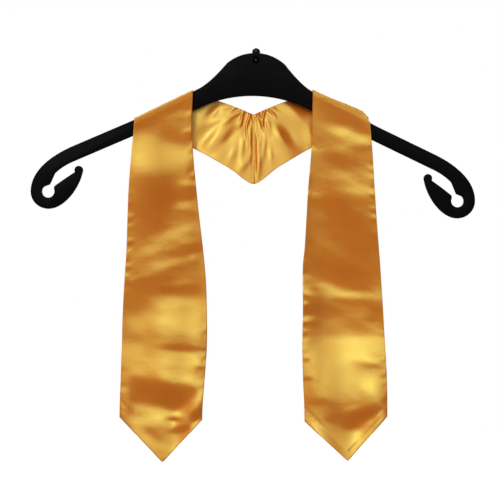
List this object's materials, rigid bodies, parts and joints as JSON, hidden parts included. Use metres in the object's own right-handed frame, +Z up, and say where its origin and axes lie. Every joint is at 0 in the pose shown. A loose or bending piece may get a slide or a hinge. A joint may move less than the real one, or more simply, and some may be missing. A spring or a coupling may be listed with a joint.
{
  "type": "graduation stole on a hanger",
  "caption": "Plain satin graduation stole with pointed ends and a gathered V neck, hung over the arms of a moulded top hanger with strap loops.",
  "frame": {"origin": "top of the knob on the hanger's plate, where the hanger hangs from", "axes": "+Z up, +X towards the right arm as seen from the front, the front bands towards -Y"},
  "size_m": [0.4438, 0.0192, 0.4125],
  "materials": {
    "satin": "gold polyester satin, lustrous across the band",
    "lining_satin": "the same gold satin, seen as the lining behind the neck",
    "moulded_black": "moulded polystyrene with a soft sheen",
    "stem_black": "smooth moulded nylon"
  },
  "bodies": {
    "root": {"left_face": "satin", "right_face": "satin", "left_lining": "lining_satin", "right_lining": "lining_satin", "centre_seam": "lining_satin", "hanger_body": "moulded_black", "hook_stem": "stem_black"}
  },
  "joints": []
}
